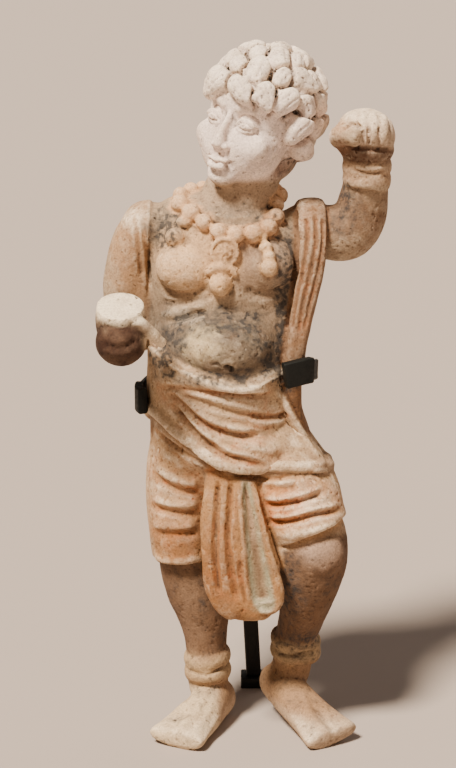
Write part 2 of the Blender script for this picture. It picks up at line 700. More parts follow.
class Clay:
    """The points of a clay skin, which strokes lift along their normals."""

    def __init__(self, mesh):
        self.mesh = mesh
        self.settle()

    def settle(self):
        count = len(self.mesh.vertices)
        points, normals = np.empty(count * 3), np.empty(count * 3)
        self.mesh.vertices.foreach_get("co", points)
        self.mesh.vertices.foreach_get("normal", normals)
        self.points, self.normals = points.reshape(-1, 3), normals.reshape(-1, 3)
        self.lift = np.zeros(count)
        self.tree = BVHTree.FromPolygons(self.points.tolist(), [p.vertices[:] for p in self.mesh.polygons])

    def push(self):
        """Moves the clay by all that has been lifted since the last push."""
        self.points += self.normals * self.lift[:, None]
        self.mesh.vertices.foreach_set("co", self.points.ravel())
        self.mesh.update()
        self.settle()

    def cast(self, origin, direction):
        """Where a line first meets the clay. A line that slips between two faces is moved a little."""
        way = Vector(direction).normalized()
        for nudge in (0, 0.011, 0.023):
            found = self.tree.ray_cast(Vector(origin) + Vector((nudge, nudge, nudge)), way)[0]
            if found is not None:
                return found
        return Vector(origin)

    def front_line(self, points):
        """A line of x, z points laid on the front of the clay."""
        return [self.cast((x, -FAR, z), (0, 1, 0)) for x, z in spline(points, 5)]

    def face_line(self, points, steps=5):
        """A line of x, z points in the head's frame, laid on the face."""
        way = HEAD.to_3x3() @ Vector((0, 1, 0))
        return [self.cast(HEAD @ Vector((x, -40, z)), way) for x, z in spline(points, steps)]

    def ring(self, middle, heights, angles, reach=FAR):
        """A line round an upright axis, met from reach away. 0 is the front and 90 the viewer's right."""
        line = []
        for angle in angles:
            out = Vector((math.sin(math.radians(angle)), -math.cos(math.radians(angle)), 0))
            centre = Vector((*middle, ring_height(heights, angle)))
            line.append(self.cast(centre + reach * out, -out))
        return line

    def stroke(self, line, width, rise, taper=0.2):
        """A rounded ridge along a line, or a groove where rise is negative. A list of widths spreads
        along the line. The stroke fades at its ends."""
        picked, gap, along = near(self.points, line, np.max(width))
        wide = np.interp(along, np.linspace(0, 1, np.size(width)), np.atleast_1d(width))
        swell = np.clip(1 - (gap / wide) ** 2, 0, 1) ** 2
        if taper:
            swell = swell * step_up(np.minimum(along, 1 - along), taper)
        self.lift[picked] += swell * rise

    def front_strokes(self, *rows):
        """Strokes on the front: x, z points, width, rise and, where it isn't the usual one, taper."""
        for points, width, rise, *taper in rows:
            self.stroke(self.front_line(points), width, rise, *taper)

    def fold(self, points, width, depth, lip):
        """A groove on the front, with a rounded lip beside it: on the left of its run if positive."""
        line = spline(points, 5)
        self.stroke(self.front_line(points), width, -depth)
        if lip:
            run = np.gradient(line, axis=0)
            run /= np.linalg.norm(run, axis=1)[:, None]
            beside = line + np.stack([-run[:, 1], run[:, 0]], axis=1) * np.sign(lip) * np.max(width) * 0.95
            laid = [self.cast((x, -FAR, z), (0, 1, 0)) for x, z in beside]
            self.stroke(laid, width, abs(lip))

    def angles(self, middle):
        """Each point's angle round an upright axis, 0 at the front and 90 at the viewer's right."""
        x, y = (self.points[:, :2] - middle).T
        return np.degrees(np.arctan2(x, -y)) % 360


# The necklace: round beads of clay, laid low on the breast and up behind the neck. Geometry Nodes
# set a bead at each step of the string and vary its size a little.
NECK_MIDDLE = (3, 2)
NECKLACE = (
    (0, 200.4),
    (17, 200.6),
    (33, 201.7),
    (58, 205.6),
    (75, 209.4),
    (95, 212.5),
    (180, 214),
    (265, 214),
    (283, 212.2),
    (299, 209.3),
    (320, 205.3),
    (338, 201.7),
)
BEAD, BEAD_PITCH = 3.35, 6.6
BEAD_PROUD = 1.1  # how far the string stands off the skin

breast = Clay(nude)
string_line = np.array([tuple(p) for p in breast.ring(NECK_MIDDLE, NECKLACE, range(0, 361, 3), FAR / 3)])
outwards = string_line - np.array([*NECK_MIDDLE, 0]) * [1, 1, 0] - string_line * [0, 0, 1]
string_line += BEAD_PROUD * outwards / np.linalg.norm(outwards, axis=1)[:, None]
string_length = float(np.linalg.norm(np.diff(string_line, axis=0), axis=1).sum())
string_mesh = bpy.data.meshes.new("string")
string_mesh.from_pydata(string_line.tolist(), [(i, i + 1) for i in range(len(string_line) - 1)], [])
tree, given, keys = node_tree(
    "beads",
    {
        "Bead radius": ("NodeSocketFloat", BEAD),
        "Beads": ("NodeSocketInt", int(string_length / BEAD_PITCH) + 1),
        "Least size": ("NodeSocketFloat", 0.9),
        "Greatest size": ("NodeSocketFloat", 1.08),
    },
)
string_curve = add_node(tree, "GeometryNodeMeshToCurve", {"Mesh": given.outputs["Geometry"]})
steps = add_node(
    tree,
    "GeometryNodeResampleCurve",
    {"Curve": string_curve.outputs["Curve"], "Count": given.outputs["Beads"]},
)
bead = add_node(
    tree, "GeometryNodeMeshIcoSphere", {"Radius": given.outputs["Bead radius"], "Subdivisions": 4}
)
vary = add_node(
    tree,
    "FunctionNodeRandomValue",
    {"Min": given.outputs["Least size"], "Max": given.outputs["Greatest size"], "Seed": 5},
    data_type="FLOAT",
)
# A float random value keeps its ends in sockets of their own
for label, socket in (("Least size", 2), ("Greatest size", 3)):
    tree.links.new(given.outputs[label], vary.inputs[socket])
strung = add_node(
    tree,
    "GeometryNodeInstanceOnPoints",
    {"Points": steps.outputs["Curve"], "Instance": bead.outputs["Mesh"], "Scale": vary.outputs[1]},
)
end_tree(tree, strung.outputs["Instances"])
beads = grown(string_mesh, tree, keys)

# The pendants: pressed lumps of clay. In the middle hang a disc with a beaded rosette, a crescent
# and a pearl, and to each side a drop on a lobed stem.
PENDANTS = (
    (-16.4, 204.6, (3.4, 2.2, 2.2)),
    (-19.8, 198.6, (3.9, 3.2, 3.9)),
    (12.7, 199, (2.3, 2, 2.4)),
    (14.2, 195.6, (2.7, 2, 2.4)),
    (15.4, 192.6, (2.4, 2, 2.2)),
    (15.4, 188.4, (3.3, 2.8, 3.6)),
    (-2.8, 181.8, (4.5, 3.8, 4.6)),
)
PENDANT_PROUD = 0.9
DISC_AT, DISC_RIM, RIM_BEADS = (-1.2, 194.2), 4.9, 26
PETALS = 7


def hung(x, z, proud=PENDANT_PROUD):
    """A place on the breast, a little off the skin."""
    return breast.cast((x, -FAR, z), (0, 1, 0)) - Vector((0, proud, 0))


pendants = [ball(hung(x, z), size) for x, z, size in PENDANTS]
disc = hung(*DISC_AT, 0.6)
pendants.append(ball(disc, (5.4, 1.5, 5.4)))
for i in range(RIM_BEADS):
    turn = 2 * math.pi * i / RIM_BEADS
    at = disc + DISC_RIM * Vector((math.cos(turn), 0, math.sin(turn)))
    pendants.append(ball(at - Vector((0, 0.9, 0)), (0.9, 1.1, 0.9)))
for i in range(PETALS):
    turn = 2 * math.pi * (i + 0.5) / PETALS
    at = disc + 2.5 * Vector((math.cos(turn), 0, math.sin(turn)))
    pendants.append(ball(at - Vector((0, 1.1, 0)), (0.85, 1, 0.85)))
pendants.append(ball(disc - Vector((0, 1.2, 0)), (1.3, 1.2, 1.3)))
crescent = [
    (x, hung(x, z).y, z, half, half)
    for x, z, half in (
        (-7.6, 186, 1.1),
        (-5.4, 187.8, 2.0),
        (-2.4, 188.4, 2.4),
        (0.6, 187.6, 2.0),
        (2.6, 185.4, 1.2),
    )
]
pendants.append(loft(crescent, across=(0, 1, 0), blunt=0.6))

# The whole skin: everything above becomes one piece of clay, and then the folds, fingers and
# features are cut with a modelling tool while it is damp.
SKIN_GRAIN, SKIN_SMOOTHING = 0.56, 3
lumps = [mesh_of(shape) for shape in (*face, *hands, *pendants)]
whole = fuse([nude, *lumps, *hair, *clothes, *coils, beads], SKIN_GRAIN, SKIN_SMOOTHING)

# Where the small forms are cut the clay is divided finer: the head, the fist and the pendants
FINE_PLACES = (
    ((10.8, 1, 243), 33),
    ((52, -8, 238), 12),
    ((-1, -22, 190), 11),
)
shape = bmesh.new()
shape.from_mesh(whole)
middles = np.array([v.co for v in shape.verts])
inside = np.any([np.linalg.norm(middles - at, axis=1) < far for at, far in FINE_PLACES], axis=0)
edges = [e for e in shape.edges if inside[e.verts[0].index] and inside[e.verts[1].index]]
bmesh.ops.subdivide_edges(shape, edges=edges, cuts=1, use_grid_fill=True)
bmesh.ops.triangulate(shape, faces=[f for f in shape.faces if len(f.verts) > 4])
clay = Clay(mesh_of(shape))

# The curls: parted from each other with the tool, rounded, and scored along their backs with a point
SCALP_REACH = 32
PARTING, PARTING_WIDE, CURL_REACH = 1.8, 2.2, 5.0
CURL_BACK, CURL_LONG, CURL_HIGH = 0.6, 1.3, 0.3  # a curl's middle, length and height against its width
ROUNDING, ROUND_REACH = 0.5, 5.4
SCORE_HALF, SCORE_WIDE, SCORE_DEEP = 4.2, 0.8, 0.3
on_scalp = np.flatnonzero(np.linalg.norm(clay.points - np.array(HEAD @ CAP_AT), axis=1) < SCALP_REACH)
local = (clay.points[on_scalp] - np.array(HEAD.translation)) @ np.array(HEAD.to_3x3())
spans = []
for at, out, stand, swell in marks:
    across, along, off = ((local - np.array(at)) @ np.array(stand)).T
    along = (along + CURL_BACK) / CURL_LONG
    spans.append(np.sqrt(across**2 + along**2 + (CURL_HIGH * off) ** 2) / swell)
first, second = np.partition(np.array(spans), 1, axis=0)[:2]
in_hair = 1 - step_up(first - CURL_REACH, 1.2)
clay.lift[on_scalp] -= PARTING * in_hair * (1 - step_up(second - first, PARTING_WIDE)) ** 1.5
clay.lift[on_scalp] += ROUNDING * in_hair * np.clip(1 - (first / ROUND_REACH) ** 2, 0, 1)
clay.push()
SCORES = ((-1.7, 0.5), (0.9, 0.8))  # how far each lies to the side, and how far it bends
for at, out, stand, swell in marks:
    for across, bend in SCORES:
        score = []
        for t in np.linspace(1, -1, 9):
            local = Vector((across + bend * (1 - t) ** 2 * 0.5, SCORE_HALF * t, 0)) * swell
            place = HEAD @ (at + stand @ local + 6 * out)
            score.append(clay.cast(place, HEAD.to_3x3() @ -out))
        clay.stroke(score, SCORE_WIDE, -SCORE_DEEP)
clay.push()

# Degrees round the hips, from the front to the viewer's right, and height of the wrap's two edges
TRUNK_MIDDLE = (-1, 0)
WAIST = (
    (0, 144.3),
    (22, 144),
    (45, 146.6),
    (70, 148),
    (120, 150),
    (180, 151),
    (250, 153),
    (290, 156),
    (318, 151.8),
)
HEM = (
    (3, 109.8),
    (25, 108.4),
    (45, 109),
    (62, 108),
    (80, 106.2),
    (100, 106),
    (180, 112),
    (240, 119),
    (285, 128.5),
    (315, 121.8),
    (340, 114.8),
)

# The wrap: a cloth wound round the hips and drawn up under the waist roll at the viewer's left, from
# where its folds fan out. It ends in a thick hem and, at the right, in a free edge.
angle = clay.angles(TRUNK_MIDDLE)
z = clay.points[:, 2]
reach = np.linalg.norm(clay.points[:, :2] - TRUNK_MIDDLE, axis=1)
waist, hem = ring_height(WAIST, angle), ring_height(HEM, angle)
clay.lift += 1.2 * step_up(z - hem, 0.6) * step_up(waist - z, 1) * step_up(41 - reach, 2)
clay.stroke(clay.ring(TRUNK_MIDDLE, WAIST, range(0, 361, 6)), 3.2, 1.5, taper=0)
clay.stroke(clay.ring(TRUNK_MIDDLE, [(a, h + 2.4) for a, h in HEM], range(0, 361, 6)), 3.2, 1.5, taper=0)
clay.push()

WAIST_ROLL = ((-29, 148), (-24, 147.4), (-17, 146.4), (-8, 145), (3, 143.3), (13, 142), (19, 143.4))
clay.stroke(clay.front_line(WAIST_ROLL), [6.5, 6, 4.4, 3.4, 3, 2.8, 2.4], 1.2)
WRAP_FOLDS = (
    # x, z points, width, depth and lip
    (((-26.5, 141.6), (-18.7, 142.2), (-7.5, 141.6), (5.6, 140.2), (16.9, 138.4)), 2.0, 1.1, 0),
    (((-24, 141), (-16.2, 139.4), (-8.6, 137.2), (-0.5, 134.6), (8, 132.2), (15.5, 130.8)), 2.4, 0.9, 0.5),
    (((8, 132), (14.9, 130.4), (23.7, 129.5)), 2.2, 1.5, -0.5),
    (
        ((-24.4, 140.4), (-18.8, 136.8), (-10.6, 129.9), (-3.5, 126.4), (4.1, 124.4), (14.3, 124)),
        2.6,
        2.0,
        0.8,
    ),
    (
        (
            (-23.4, 138.6),
            (-18.8, 132.5),
            (-12.7, 125.5),
            (-6.6, 120.5),
            (-0.5, 116.8),
            (6.7, 114.9),
            (15.9, 111.8),
        ),
        2.4,
        2.0,
        0.9,
    ),
    (((0, 119.6), (8, 117.4), (16, 115.6), (24, 115)), 2.6, 0.7, 0),
    (((-6, 131.6), (4, 129), (14, 128)), 2.6, 0.5, 0),
)
stained = []  # lines where the orange pigment stays, with how far it reaches and how strong it is
for points, width, depth, lip in WRAP_FOLDS:
    clay.fold(points, width, depth, lip)
    stained.append((clay.front_line(points), 3.4, 0.55 * min(1, depth / 1.5)))
WRAP_EDGE = ((18.6, 143), (20, 138.6), (24.4, 130.6), (28.9, 122.6), (33.4, 116.4), (37.8, 110.6))
edge_x, edge_z = np.array(WRAP_EDGE[::-1]).T


def beyond_wrap(points, past):
    """1 on the thigh, further than past beyond the wrap's free edge, and 0 elsewhere."""
    x, y, z = points.T
    beyond = step_up(x - np.interp(z, edge_z, edge_x) - past, 1.2) * step_up(14 - y, 8)
    return beyond * step_up(z - 110.5, 1.5) * step_up(147 - z, 2)


clay.lift -= 1.6 * beyond_wrap(clay.points, 0.6)
clay.stroke(clay.front_line([(x - 0.8, z) for x, z in WRAP_EDGE]), 2.4, 0.7)
UNDER_HEM = (
    (-30.2, 124.6),
    (-24.2, 120.4),
    (-16.4, 116.2),
    (-7.6, 112.2),
    (4.1, 108.6),
    (14.4, 106.4),
    (22, 107.4),
    (32.3, 108.2),
)
clay.stroke(clay.front_line(UNDER_HEM), 1.8, -1.3)
stained.append((clay.front_line([(x, z - 1.4) for x, z in UNDER_HEM]), 3.4, 0.4))
clay.stroke(clay.front_line(((32, 110), (36, 109.2), (38.6, 107.4))), 1.8, 1.0)
clay.push()

# The trousers: full cloth pushed up the thighs in round folds, each with a sharp groove under it.
TROUSER_FOLDS = (
    (((-30, 105.6), (-23.2, 102.6), (-16.1, 100.6), (-10.7, 100.4)), 3.2, 1.2, 1.1),
    (((-30.2, 92.4), (-20.5, 91.8), (-10.7, 91.6)), 3.0, 1.1, 1.0),
    (((-30, 81.4), (-20.5, 82.6), (-10.7, 83.6)), 3.0, 0.8, 0.8),
    (((-28, 113), (-20, 108.6), (-12, 106.4)), 3.2, 0.6, 0.3),
    (((13.1, 96.7), (20, 97.3), (29.7, 99.6), (38, 101.8)), 2.2, 1.9, 0.9),
    (((13.4, 103.6), (20, 103.2), (27, 104.6)), 2.4, 0.9, 0.5),
    (((14.6, 89.8), (22.7, 90.9), (33.4, 93.9), (45, 94)), 2.2, 1.8, 1.0),
    (((20, 94), (30, 96.2), (42, 98)), 1.8, 0.5, 0),
)
TROUSER_HEMS = (
    ((-29.5, 72.8), (-25.8, 70.6), (-19.1, 71), (-9, 72.6)),
    ((15.6, 84.6), (28.1, 86.8), (36.2, 88.6), (46.4, 89.2)),
)
for points, width, depth, lip in TROUSER_FOLDS:
    clay.fold(points, width, depth, lip)
    stained.append((clay.front_line([(x, z + 0.4) for x, z in points]), 3.6, 0.15 + 0.35 * depth))
for points in TROUSER_HEMS:
    clay.stroke(clay.front_line(points), 2.6, 0.9)

# The apron: a panel in upright flutes. Its right-hand edge is turned over, so a trough of the pale
# green lining shows between the panel and a rolled border.
APRON_FLUTES = (
    (((-3.6, 107), (-4.3, 97.4), (-4.9, 83.8), (-4.6, 72.8), (-3.4, 62.5)), [1.4, 1.9, 2.1, 2.1, 1.8], 1.9),
    (
        ((1.2, 107), (0.7, 98.7), (-0.1, 87), (0.4, 79.3), (1.6, 70.1), (3.8, 59.6)),
        [1.4, 1.8, 1.6, 2.0, 2.2, 1.8],
        1.6,
    ),
    (((5, 77), (4.6, 72), (5.4, 66), (7, 58)), [1.4, 1.8, 1.6, 1.2], 0.7),
)
for points, widths, depth in APRON_FLUTES:
    clay.stroke(clay.front_line(points), widths, -depth, taper=0.1)
    stained.append((clay.front_line(points), 3.0, 0.42))
LINING = ((6.6, 107), (7.9, 99), (9.2, 90), (10.6, 80), (12.2, 69.9), (13.2, 63), (14, 59.6))
PANEL_EDGE = ((4.0, 106), (4.8, 96), (5.9, 85), (6.6, 74), (7.4, 66), (9.4, 58.6))
BORDER = ((9.6, 106), (12.2, 94), (15.3, 82), (18.4, 71), (20.6, 63), (19.4, 57.6), (15.4, 56), (11.4, 57))
for beside, depth in ((-0.22, 1.3), (0.22, 1.3)):
    wide = np.array([1.4, 2.4, 3.6, 5.0, 6.2, 6.0, 4.4])
    line = [(x + beside * w, z) for (x, z), w in zip(LINING, wide)]
    clay.stroke(clay.front_line(line), wide, -depth, taper=0.1)
clay.stroke(clay.front_line(PANEL_EDGE), [1.4, 1.6, 1.8, 1.8, 1.6], 1.0, taper=0.1)
clay.stroke(clay.front_line(BORDER), [1.4, 1.8, 2.0, 2.4, 2.6, 2.4, 2.2, 2.0], 1.1, taper=0.08)
lining_line = clay.front_line(LINING)
clay.push()

# The sash: three pleats run down its length, and a groove parts it from the breast.
SASH_PLEATS = (
    ((29.6, 206), (29.6, 197.7), (28, 186.5), (25.6, 175.1), (24, 164)),
    ((32.8, 207), (33, 197.7), (31.2, 186.5), (28.6, 175.1), (26.6, 162)),
    ((35.6, 206), (35.9, 197.6), (34, 186.5), (31.2, 175.1), (28.4, 163)),
)
for points in SASH_PLEATS:
    clay.stroke(clay.front_line(points), 1.3, -0.9, taper=0.06)
    stained.append((clay.front_line(points), 2.0, 0.25))
clay.stroke(clay.front_line(((26, 208), (26.4, 193.2), (24.4, 175), (22.2, 163))), 1.8, -1.3, taper=0.06)

# The bare trunk: folds of fat under the breasts, the navel, the collar bones, and the shawl that lies
# on the shoulder and over the arm.
clay.front_strokes(
    (((-27, 180.4), (-19.5, 176.9), (-11.2, 178), (-6.6, 181.6)), 3.2, -1.3),
    (((5.6, 180.6), (10.2, 177.6), (16.2, 177.6), (22, 180.6)), 3, -1.1),
    (((-26.4, 172.8), (-18.1, 173.6), (-9.4, 175.6), (-5, 178.6)), 1.9, -0.9),
    (((-26, 168.4), (-19, 170.9), (-13, 172.6), (-8, 174)), 2.4, 0.8),
    (((-26.4, 165.8), (-18.1, 167.9), (-12.6, 169.8), (-6.6, 171.2)), 1.9, -1.0),
    (((0.4, 193), (0.8, 184), (1, 176)), 3.4, -0.7),
    (((-0.6, 151.4), (1.2, 150.6)), 1.7, -1.7, 0),
    (((-3.4, 152.4), (-0.4, 153.8), (2.6, 152.6)), 1.7, 0.5),
    (((-7, 206.2), (-1, 204.6), (8, 204.8), (13, 206.6)), 2.4, -0.8),
)
x, y, z = clay.points.T
shawl = step_up(-29.5 - x - 0.06 * (200 - z), 0.9) * step_up(z - 171, 9)
clay.lift += 0.9 * shawl * step_up(y + 22, 2)
clay.stroke(clay.front_line(((-35.4, 206.5), (-34.2, 196.6), (-33.6, 186), (-32.4, 176))), 1.5, -0.9)
stained.append((clay.front_line(((-35, 206.5), (-34, 196.6), (-33.4, 186), (-32.2, 176))), 2.0, 0.9))
clay.stroke(clay.front_line(((-31.6, 208), (-31.4, 198), (-30.6, 188), (-30, 178))), 1.6, -0.8)

# The hands and feet: grooves between the fingers, the thumb's nail, and the tendons of the foot.
for i in range(FINGERS - 1):
    x = FINGER_FROM + FINGER_PITCH * (i + 0.5)
    clay.stroke(clay.front_line(((x, 241), (x, 237.4), (x + 0.1, 233.4))), 1.0, -0.8)
clay.front_strokes(
    (((46, 232.4), (50, 232.4), (55, 232), (61, 231.6)), 1.5, -0.9),
    (((42, 239.6), (44.4, 241), (47.6, 241), (50, 239.6)), 1.5, -1.3),
    (((49.6, 240), (50.6, 237), (50, 233.6)), 1.2, -1.1),
    (((43.6, 233.4), (46, 232.6), (49.4, 232.6)), 1.4, -1.1),
    (((-47, 166), (-42, 163.6), (-36, 164.4), (-32.6, 167)), 2.4, -0.8),
    (((-44, 160), (-39, 158.8), (-34, 160.4)), 2.0, -0.5),
)
for points, width, depth in (
    (((46, 224.6), (50, 223.2), (55, 222.6), (59, 223.4)), 1.0, 0.8),
    (((46.4, 219.8), (50, 221.2), (53, 221.6)), 0.9, 0.4),
    (((50, 226.4), (55, 225.6), (59, 226.4)), 0.9, 0.4),
    (((-16, 22.6), (-9, 22), (-4, 23.4), (0.6, 25)), 1.0, 0.8),
    (((18.6, 30.6), (24, 30.4), (31, 31.6), (36, 31.2)), 1.0, 0.8),
):
    clay.stroke(clay.front_line(points), width, -depth)
clay.front_strokes(
    (((29.4, 18), (32, 11), (36, 8.4), (40.4, 6.6)), 2.6, 1.1),
    (((25.6, 12), (29.4, 7.6), (33.4, 5.6)), 3.4, -0.7),
    (((34.6, 13), (38.4, 9.4), (43, 7)), 3.0, -0.7),
    (((-8.6, 16), (-12.4, 11), (-16.6, 9), (-20, 7)), 3.0, 0.9),
    (((-15, 14), (-19.4, 9.4), (-23, 7.6)), 3.0, -0.6),
    (((-3.4, 11), (-7.4, 7.4), (-11.6, 5.6)), 3.0, -0.6),
)
clay.push()

# The features, sharpened: lids and eyes, brows, wings of the nose and closed lips.
for side in (-1, 1):
    lid = [(3.4, -0.8), (5.1, 1.4), (7.2, 2.2), (9.5, 1.5), (11.3, -0.6)]
    crease = [(3.2, 0.9), (5.1, 3.2), (7.4, 4.0), (10, 3.1), (11.8, 0.9)]
    under = [(3.6, -1.0), (5.4, -2.1), (7.2, -2.4), (9.3, -2.0), (11.1, -0.8)]
    brow = [(2.2, BROW_Z - 0.6), (5, BROW_Z + 1.4), (8.4, BROW_Z + 1.9), (12, BROW_Z + 0.2)]
    corner = [(2.4, -7.4), (3.9, -8.6), (4.2, -10.2), (3.3, -11.2)]
    inside_lid = [(4.4, -0.5), (5.6, 0.8), (7.2, 1.35), (9.1, 0.9), (10.4, -0.4)]
    inside_under = [(4.6, -0.9), (5.8, -1.35), (7.2, -1.55), (9, -1.3), (10.3, -0.7)]
    iris = [(EYE_X + 1.35 * math.cos(a), -0.1 + 1.35 * math.sin(a)) for a in np.linspace(0, 2 * math.pi, 13)]
    for points, width, rise, taper in (
        (lid, 0.8, 0.75, 0.12),
        (crease, 0.8, -0.4, 0.15),
        (under, 0.8, 0.5, 0.12),
        (brow, 2.2, 0.6, 0.15),
        (corner, 0.9, -0.45, 0.15),
        (inside_lid, 0.55, -0.5, 0.1),
        (inside_under, 0.5, -0.35, 0.1),
        (iris, 0.36, -0.22, 0),
        ([(EYE_X - 0.1, -0.1), (EYE_X + 0.1, -0.1)], 0.75, -0.4, 0),
    ):
        clay.stroke(clay.face_line([(a * side, b) for a, b in points]), width, rise, taper=taper)
    clay.stroke(clay.face_line([(1.3 * side, NOSE_Z + 0.3), (2.3 * side, NOSE_Z + 0.2)]), 0.7, -0.7, taper=0)
mouth = [(x, MOUTH_Z + z) for x, z in ((-4.9, 0.1), (-2.4, 0.2), (0, -0.4), (2.4, 0.2), (4.9, 0.1))]
clay.stroke(clay.face_line(mouth), 0.85, -0.75, taper=0.1)
for side in (-1, 1):
    upper_lip = [(x * side, MOUTH_Z + z) for x, z in ((0.3, 1.5), (2.2, 1.5), (4.3, 0.4))]
    corner = [(x * side, MOUTH_Z + z) for x, z in ((4.9, 0.8), (5.3, -0.6))]
    clay.stroke(clay.face_line(upper_lip), 1.0, 0.35)
    clay.stroke(clay.face_line(corner), 1.1, -0.5, taper=0)
clay.stroke(clay.face_line([(-3.6, MOUTH_Z - 1.6), (0, MOUTH_Z - 2.1), (3.6, MOUTH_Z - 1.6)]), 1.3, 0.35)
clay.stroke(clay.face_line([(-3, MOUTH_Z - 4.1), (0, MOUTH_Z - 4.4), (3, MOUTH_Z - 4.1)]), 1.6, -0.55)
clay.stroke(clay.face_line([(0, NOSE_Z - 1.4), (0, MOUTH_Z + 2.6)], 4), 0.9, -0.4, taper=0.1)
clay.push()

# Wear: the skin is uneven, pitted where grit fell out, and flat under the soles. The lowered hand's
# top is worn away.
UNEVEN, UNEVEN_SPAN = 0.24, 7.0
ROUGH, ROUGH_SPAN = 0.06, 1.9
PIT, PIT_SPAN = 0.26, 1.3
FACE_AT, FACE_REACH = HEAD @ Vector((0, -18, -5)), 10  # where the skin is calmer
WORN_AWAY = 0.92  # of what stood above the worn top
WORN_RIGHT, WORN_BACK = -28, -26  # the furthest right and back that the wear goes
SOLE_FLAT = 0.5
waves = np.array([noise.noise(Vector(p) / UNEVEN_SPAN) for p in clay.points])
pits = np.array([noise.noise(Vector(p) / PIT_SPAN) for p in clay.points])
from_face = np.linalg.norm(clay.points - np.array(FACE_AT), axis=1)
calm = step_up(from_face - FACE_REACH, 8)
rough = np.array([noise.noise(Vector(p) / ROUGH_SPAN + Vector((7, 3, 5))) for p in clay.points])
clay.lift += (UNEVEN * waves + ROUGH * rough) * (0.25 + 0.75 * calm) - PIT * step_up(pits - 0.38, 0.14) * calm
clay.push()
above = np.maximum(clay.points @ np.array(worn_way) - WORN_AT, 0)
above[(clay.points[:, 0] > WORN_RIGHT) | (clay.points[:, 1] > WORN_BACK)] = 0
clay.points -= WORN_AWAY * above[:, None] * np.array(worn_way)
clay.points[:, 2][clay.points[:, 2] < SOLE_FLAT] = 0
clay.mesh.vertices.foreach_set("co", clay.points.ravel())
clay.mesh.update()

# The finished figure, in fewer faces where it is smooth
MOST_FACES = 194000
figure_mesh = made_by(
    clay.mesh, "Fewer faces", "DECIMATE", ratio=min(1, MOST_FACES / (2 * len(clay.mesh.polygons)))
)
figure_mesh.name = "fired_clay_dancer"
figure = Clay(figure_mesh)
points, normals = figure.points, figure.normals
count = len(points)
points[:, 2][points[:, 2] < SOLE_FLAT] = 0
figure_mesh.vertices.foreach_set("co", points.ravel())

# What is left of the paint: a white slip over the pinkish clay, orange in the folds of the cloth, pale
# green on the lining, and soot and soil in the hollows. Each is a value at every point.
PATCHY_SPAN, FINE_SPAN = 6.0, 1.7

# How soft and how ragged the edge of a patch is
CRISP_EDGE, USUAL_EDGE, SOFT_EDGE, FADING_EDGE = (0.15, 0.05), (0.4, 0.25), (0.6, 0.4), (0.8, 0.4)


def hollowness(mesh, turns, span):
    """How deep each point lies below its surroundings, from 0 to 1, and how far it stands proud."""
    smooth = made_by(mesh, "Smooth", "SMOOTH", factor=0.5, iterations=turns)
    flat = np.empty(len(mesh.vertices) * 3)
    smooth.vertices.foreach_get("co", flat)
    depth = np.einsum("ij,ij->i", flat.reshape(-1, 3) - points, normals) / span
    return np.clip(depth, 0, 1), np.clip(-depth, 0, 1)


def blotch(at, radii, edge):
    """1 inside an ellipsoid, and fading to 0 across its edge."""
    soft, ragged = edge
    far = np.linalg.norm((points - at) / np.broadcast_to(radii, 3), axis=1) + ragged * patchy
    return 1 - step_up(far - (1 - soft), 2 * soft)


def onto(mesh, edge):
    """1 on the clay that a mesh made, and 0 further from it than edge."""
    tree = BVHTree.FromPolygons([v.co for v in mesh.vertices], [p.vertices[:] for p in mesh.polygons])
    gaps = np.array([(tree.find_nearest(Vector(p))[3] or FAR) for p in points])
    return 1 - step_up(gaps - edge * 0.6, edge * 0.6)


patchy = np.array([noise.fractal(Vector(p) / PATCHY_SPAN, 0.7, 2.1, 4) for p in points])
fine = np.array([noise.fractal(Vector(p) / FINE_SPAN, 0.6, 2.1, 3) for p in points])
hollow, proud = hollowness(figure_mesh, 6, 0.30)
wide_hollow, wide_proud = hollowness(figure_mesh, 60, 1.6)

x, y, z = points.T
angle = figure.angles(TRUNK_MIDDLE)
reach = np.linalg.norm(points[:, :2] - TRUNK_MIDDLE, axis=1)
on_wrap = step_up(z - ring_height(HEM, angle) + 0.6, 1) * step_up(ring_height(WAIST, angle) + 2.6 - z, 1)
on_wrap *= step_up(40 - reach, 2)
on_apron = onto(apron, 2.2) * step_up(-18 - y, 3) * step_up(ring_height(HEM, angle) - z, 1.5)
on_sash = onto(sash, 2.0) * (1 - on_wrap)
on_trousers = np.maximum(onto(trousers[0], 2.6), onto(trousers[1], 2.6))
on_trousers = on_trousers * step_up(ring_height(HEM, angle) - z, 1)
on_trousers *= (1 - on_apron) * step_up(z - 69.5, 1)
on_beads = onto(beads, 1.4)
HEAD_REACH, HEAD_FROM, HEAD_RIGHT = 34, 218, 39  # from its middle, its lowest and furthest right
on_head = 1 - step_up(np.linalg.norm(points - np.array(HEAD @ Vector((0, 3, 3))), axis=1) - HEAD_REACH, 2)
on_head *= step_up(z - HEAD_FROM, 4) * step_up(HEAD_RIGHT - x, 1.5)
on_legs = step_up(84 - z, 2) * (1 - on_trousers) * (1 - on_apron)

ground = np.tile(np.array(linear("#A08468")[:3]), (count, 1))


def wash(mask, colour, strength=1.0):
    """Lays a colour where the mask says."""
    share = np.clip(mask * strength, 0, 1)[:, None]
    ground[:] = ground * (1 - share) + np.array(linear(colour)[:3]) * share


def washes(*rows):
    """Lays patches: what each keeps to, its middle, reach, edge, colour and strength."""
    for kept_to, at, radii, edge, colour, strength in rows:
        wash(kept_to * blotch(at, radii, edge), colour, strength)


def patched(*rows):
    """The sum of patches: how strong each is, what it keeps to, its middle, reach and edge."""
    return sum(strength * kept_to * blotch(at, radii, edge) for strength, kept_to, at, radii, edge in rows)


